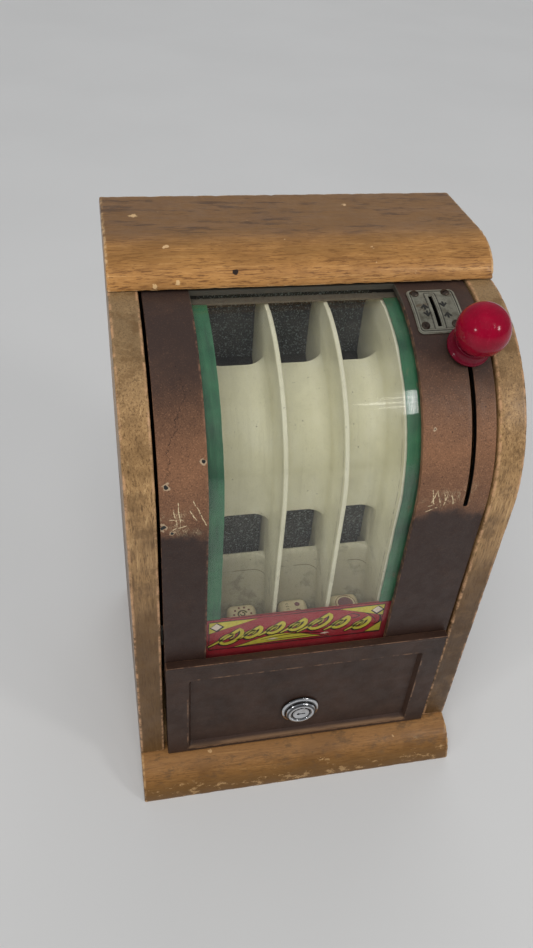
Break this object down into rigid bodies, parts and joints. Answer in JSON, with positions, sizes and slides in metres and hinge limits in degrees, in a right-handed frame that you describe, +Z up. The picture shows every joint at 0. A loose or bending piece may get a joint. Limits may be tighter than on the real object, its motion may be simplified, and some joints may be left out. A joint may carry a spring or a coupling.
{
  "type": "slot machine",
  "caption": "Countertop dice trade stimulator: wooden cabinet, curved painted metal front with a window over three dice lanes, ball-handled side lever, coin slot and locked cash drawer.",
  "frame": {"origin": "centre of the underside of the base board, on the surface the machine stands on", "axes": "+Z up, -Y towards the player at the front, +X to the player's right, where the lever is"},
  "size_m": [0.216, 0.194, 0.338],
  "materials": {
    "varnished_wood": "worn satin varnish over golden-brown boards",
    "raw_wood": "unfinished softwood",
    "brown_paint": "hammered copper-brown enamel, chipped",
    "window_glass": "clear curved glass",
    "green_paint": "matt green border paint, streaky",
    "printed_card": "printed card with a plain ornament",
    "cream_enamel": "aged cream enamel",
    "pressed_plate": "worn pressed plate",
    "zinc_steel": "dull zinc plate",
    "spring_steel": "oiled spring wire",
    "red_phenolic": "polished red plastic",
    "black_pad": "black speckled pad",
    "ivory_dice": "aged ivory plastic",
    "chrome": "bright chrome plate",
    "tinplate": "tinned sheet",
    "brass": "dull brass"
  },
  "bodies": {
    "cabinet": {"base_board": "varnished_wood", "board_spacer": "raw_wood", "bumper_board": "raw_wood", "bumper_pad_1": "black_pad", "bumper_pad_2": "black_pad", "bumper_pad_3": "black_pad", "coin_chute": "tinplate", "coin_plate": "pressed_plate", "coin_plate_screw_1": "zinc_steel", "coin_plate_screw_2": "zinc_steel", "coin_plate_screw_3": "zinc_steel", "coin_plate_screw_4": "zinc_steel", "dice_chute": "cream_enamel", "drawer_guide_left": "raw_wood", "drawer_guide_right": "raw_wood", "front_panel": "brown_paint", "hinge_fixed_lower": "brass", "hinge_fixed_upper": "brass", "hinge_pin_lower": "brass", "hinge_pin_upper": "brass", "kicker_bearing_left": "tinplate", "kicker_bearing_right": "tinplate", "lever_bracket": "zinc_steel", "lever_spring": "spring_steel", "lock_strike": "zinc_steel", "mechanism_board": "raw_wood", "pivot_nut": "zinc_steel", "side_panel_left": "varnished_wood", "side_panel_right": "varnished_wood", "sign_strip": "printed_card", "top_board": "varnished_wood", "top_bumper": "black_pad", "window_glass": "window_glass", "window_mask_left": "green_paint", "window_mask_right": "green_paint"},
    "lever": {"lever_arm": "zinc_steel", "lever_collar": "red_phenolic", "lever_knob": "red_phenolic"},
    "kicker": {"kicker": "zinc_steel"},
    "link": {"link_rod": "zinc_steel"},
    "drawer": {"drawer_front": "brown_paint", "drawer_box": "tinplate", "lock_body": "chrome"},
    "lock": {"lock_plug": "chrome", "lock_cam": "zinc_steel"},
    "rear_door": {"rear_door": "raw_wood", "hinge_leaf_lower": "brass", "hinge_leaf_upper": "brass", "rear_pull": "brass"},
    "die_1": {"die_1": "ivory_dice"},
    "die_2": {"die_2": "ivory_dice"},
    "die_3": {"die_3": "ivory_dice"}
  },
  "joints": [
    {"name": "lever_pull", "type": "hinge", "parent": "cabinet", "child": "lever", "pos_m": [0.0783, 0.02, 0.225], "axis": [1, 0, 0], "range_deg": [0, 50], "stiffness_Nm_per_rad": 0.15, "springref_deg": -51.57},
    {"name": "kicker_turn", "type": "hinge", "parent": "cabinet", "child": "kicker", "pos_m": [0, -0.027, 0.099], "axis": [1, 0, 0], "range_deg": [0, 50]},
    {"name": "link_swing", "type": "hinge", "parent": "lever", "child": "link", "pos_m": [0.0783, 0.035, 0.20891], "axis": [1, 0, 0], "range_deg": [-50, 0]},
    {"name": "drawer_slide", "type": "slide", "parent": "cabinet", "child": "drawer", "axis": [0, -1, 0], "range_m": [0, 0.11]},
    {"name": "lock_turn", "type": "hinge", "parent": "drawer", "child": "lock", "pos_m": [-0.001, -0.075, 0.054], "axis": [0, -1, 0], "range_deg": [0, 90]},
    {"name": "rear_door_swing", "type": "hinge", "parent": "cabinet", "child": "rear_door", "pos_m": [-0.0892, 0.0916, 0.172], "axis": [0, 0, 1], "range_deg": [0, 110]},
    {"name": "die_1_lift", "type": "slide", "parent": "cabinet", "child": "die_1", "axis": [0, 0, 1], "range_m": [0, 0.12]},
    {"name": "die_2_lift", "type": "slide", "parent": "cabinet", "child": "die_2", "axis": [0, 0, 1], "range_m": [0, 0.12]},
    {"name": "die_3_lift", "type": "slide", "parent": "cabinet", "child": "die_3", "axis": [0, 0, 1], "range_m": [0, 0.12]}
  ],
  "couplings": [
    {"joint": "kicker_turn", "follows": "lever_pull", "ratio": 1},
    {"joint": "link_swing", "follows": "lever_pull", "ratio": -1}
  ]
}
